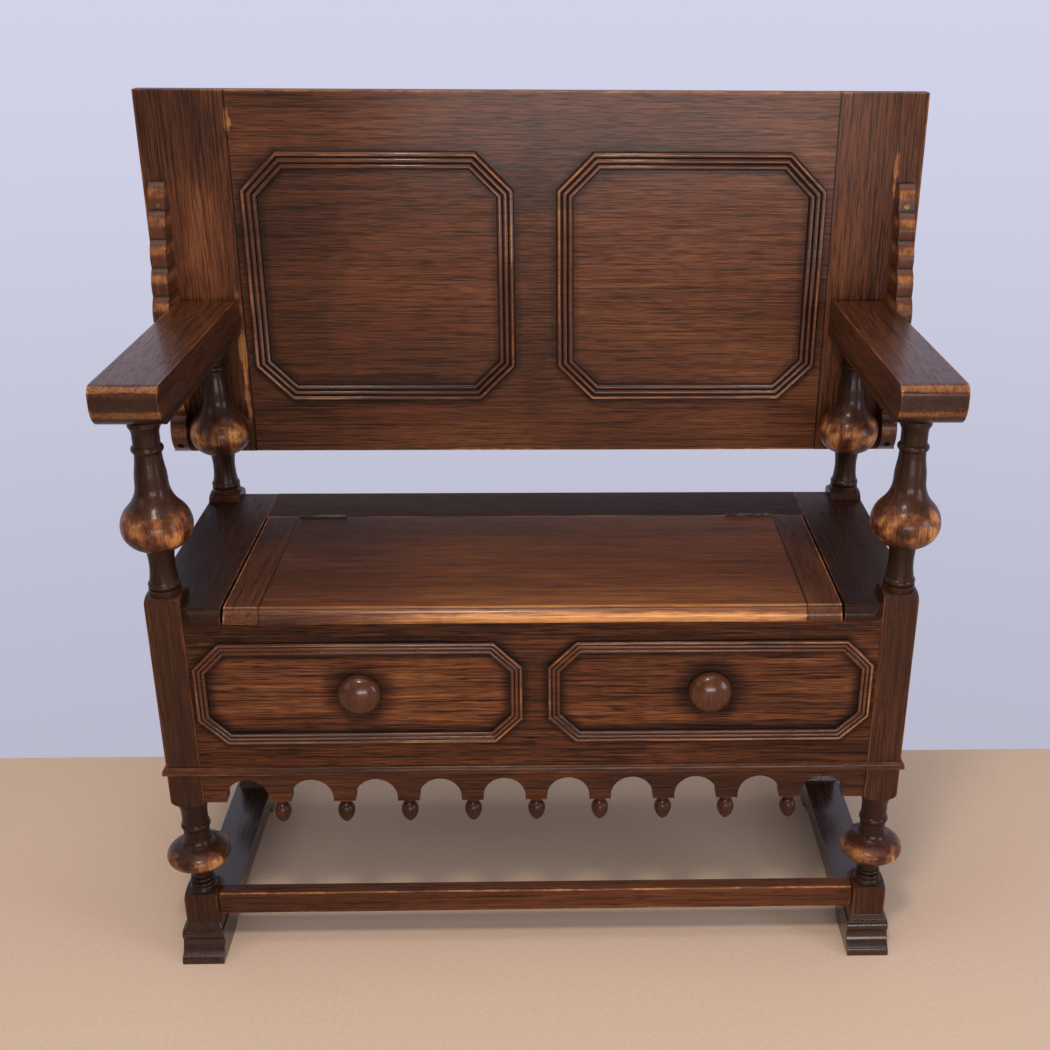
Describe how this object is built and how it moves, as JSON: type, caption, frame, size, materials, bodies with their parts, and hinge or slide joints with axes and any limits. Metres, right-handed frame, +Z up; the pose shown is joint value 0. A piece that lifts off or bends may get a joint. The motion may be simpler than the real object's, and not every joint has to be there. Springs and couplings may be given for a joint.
{
  "type": "settle bench",
  "caption": "Oak settle bench with turned posts, flat arms and a lidded storage seat; its framed back tips forward over the arms and slides to make a table.",
  "frame": {"origin": "on the floor, under the middle of the bench's overall box", "axes": "+Z up; +Y towards the back, so the sitter faces -Y; +X to the right of someone who looks at the front"},
  "size_m": [1.067, 0.447, 1.0935],
  "materials": {
    "oak": "waxed, dark brown, worn to orange on the edges",
    "oak_turned": "glossy wax on the turnings",
    "brass": "worn"
  },
  "bodies": {
    "frame": {"foot_left": "oak", "foot_right": "oak", "front_post_left": "oak_turned", "front_post_right": "oak_turned", "rear_post_left": "oak_turned", "rear_post_right": "oak_turned", "arm_left": "oak", "arm_right": "oak", "box_end_left": "oak", "box_end_right": "oak", "base_moulding_left": "oak", "base_moulding_right": "oak", "seat_end_left": "oak", "seat_end_right": "oak", "front_octagon_left": "oak", "front_octagon_right": "oak", "knob_left": "oak_turned", "knob_right": "oak_turned", "hinge_leaf_rail_left": "brass", "hinge_leaf_rail_right": "brass", "hinge_pin_left": "brass", "hinge_pin_right": "brass", "stretcher_front": "oak", "stretcher_rear": "oak", "box_front": "oak", "box_back": "oak", "box_bottom": "oak", "batten_front": "oak", "batten_rear": "oak", "base_moulding_front": "oak", "apron": "oak", "apron_drops": "oak_turned", "seat_rear_rail": "oak", "hinge_screws_rail": "brass"},
    "pegs": {"pivot_peg_left": "oak_turned", "pivot_peg_right": "oak_turned"},
    "back": {"back_board_upper": "oak", "back_board_lower": "oak", "back_cleat_left": "oak", "back_cleat_right": "oak", "back_octagon_left": "oak", "back_octagon_right": "oak", "bearer_left": "oak", "bearer_right": "oak", "bearer_screws": "brass"},
    "lid": {"lid_field": "oak", "lid_cleat_left": "oak", "lid_cleat_right": "oak", "hinge_leaf_lid_left": "brass", "hinge_leaf_lid_right": "brass", "hinge_screws_lid": "brass"}
  },
  "joints": [
    {"name": "back_tilt", "type": "hinge", "parent": "frame", "child": "pegs", "pos_m": [0, 0.1792, 0.7905], "axis": [1, 0, 0], "range_deg": [0, 90]},
    {"name": "back_slide", "type": "slide", "parent": "pegs", "child": "back", "axis": [0, 0, 1], "range_m": [0, 0.128]},
    {"name": "lid_hinge", "type": "hinge", "parent": "frame", "child": "lid", "pos_m": [0, 0.07625, 0.5305], "axis": [-1, 0, 0], "range_deg": [0, 114]}
  ]
}
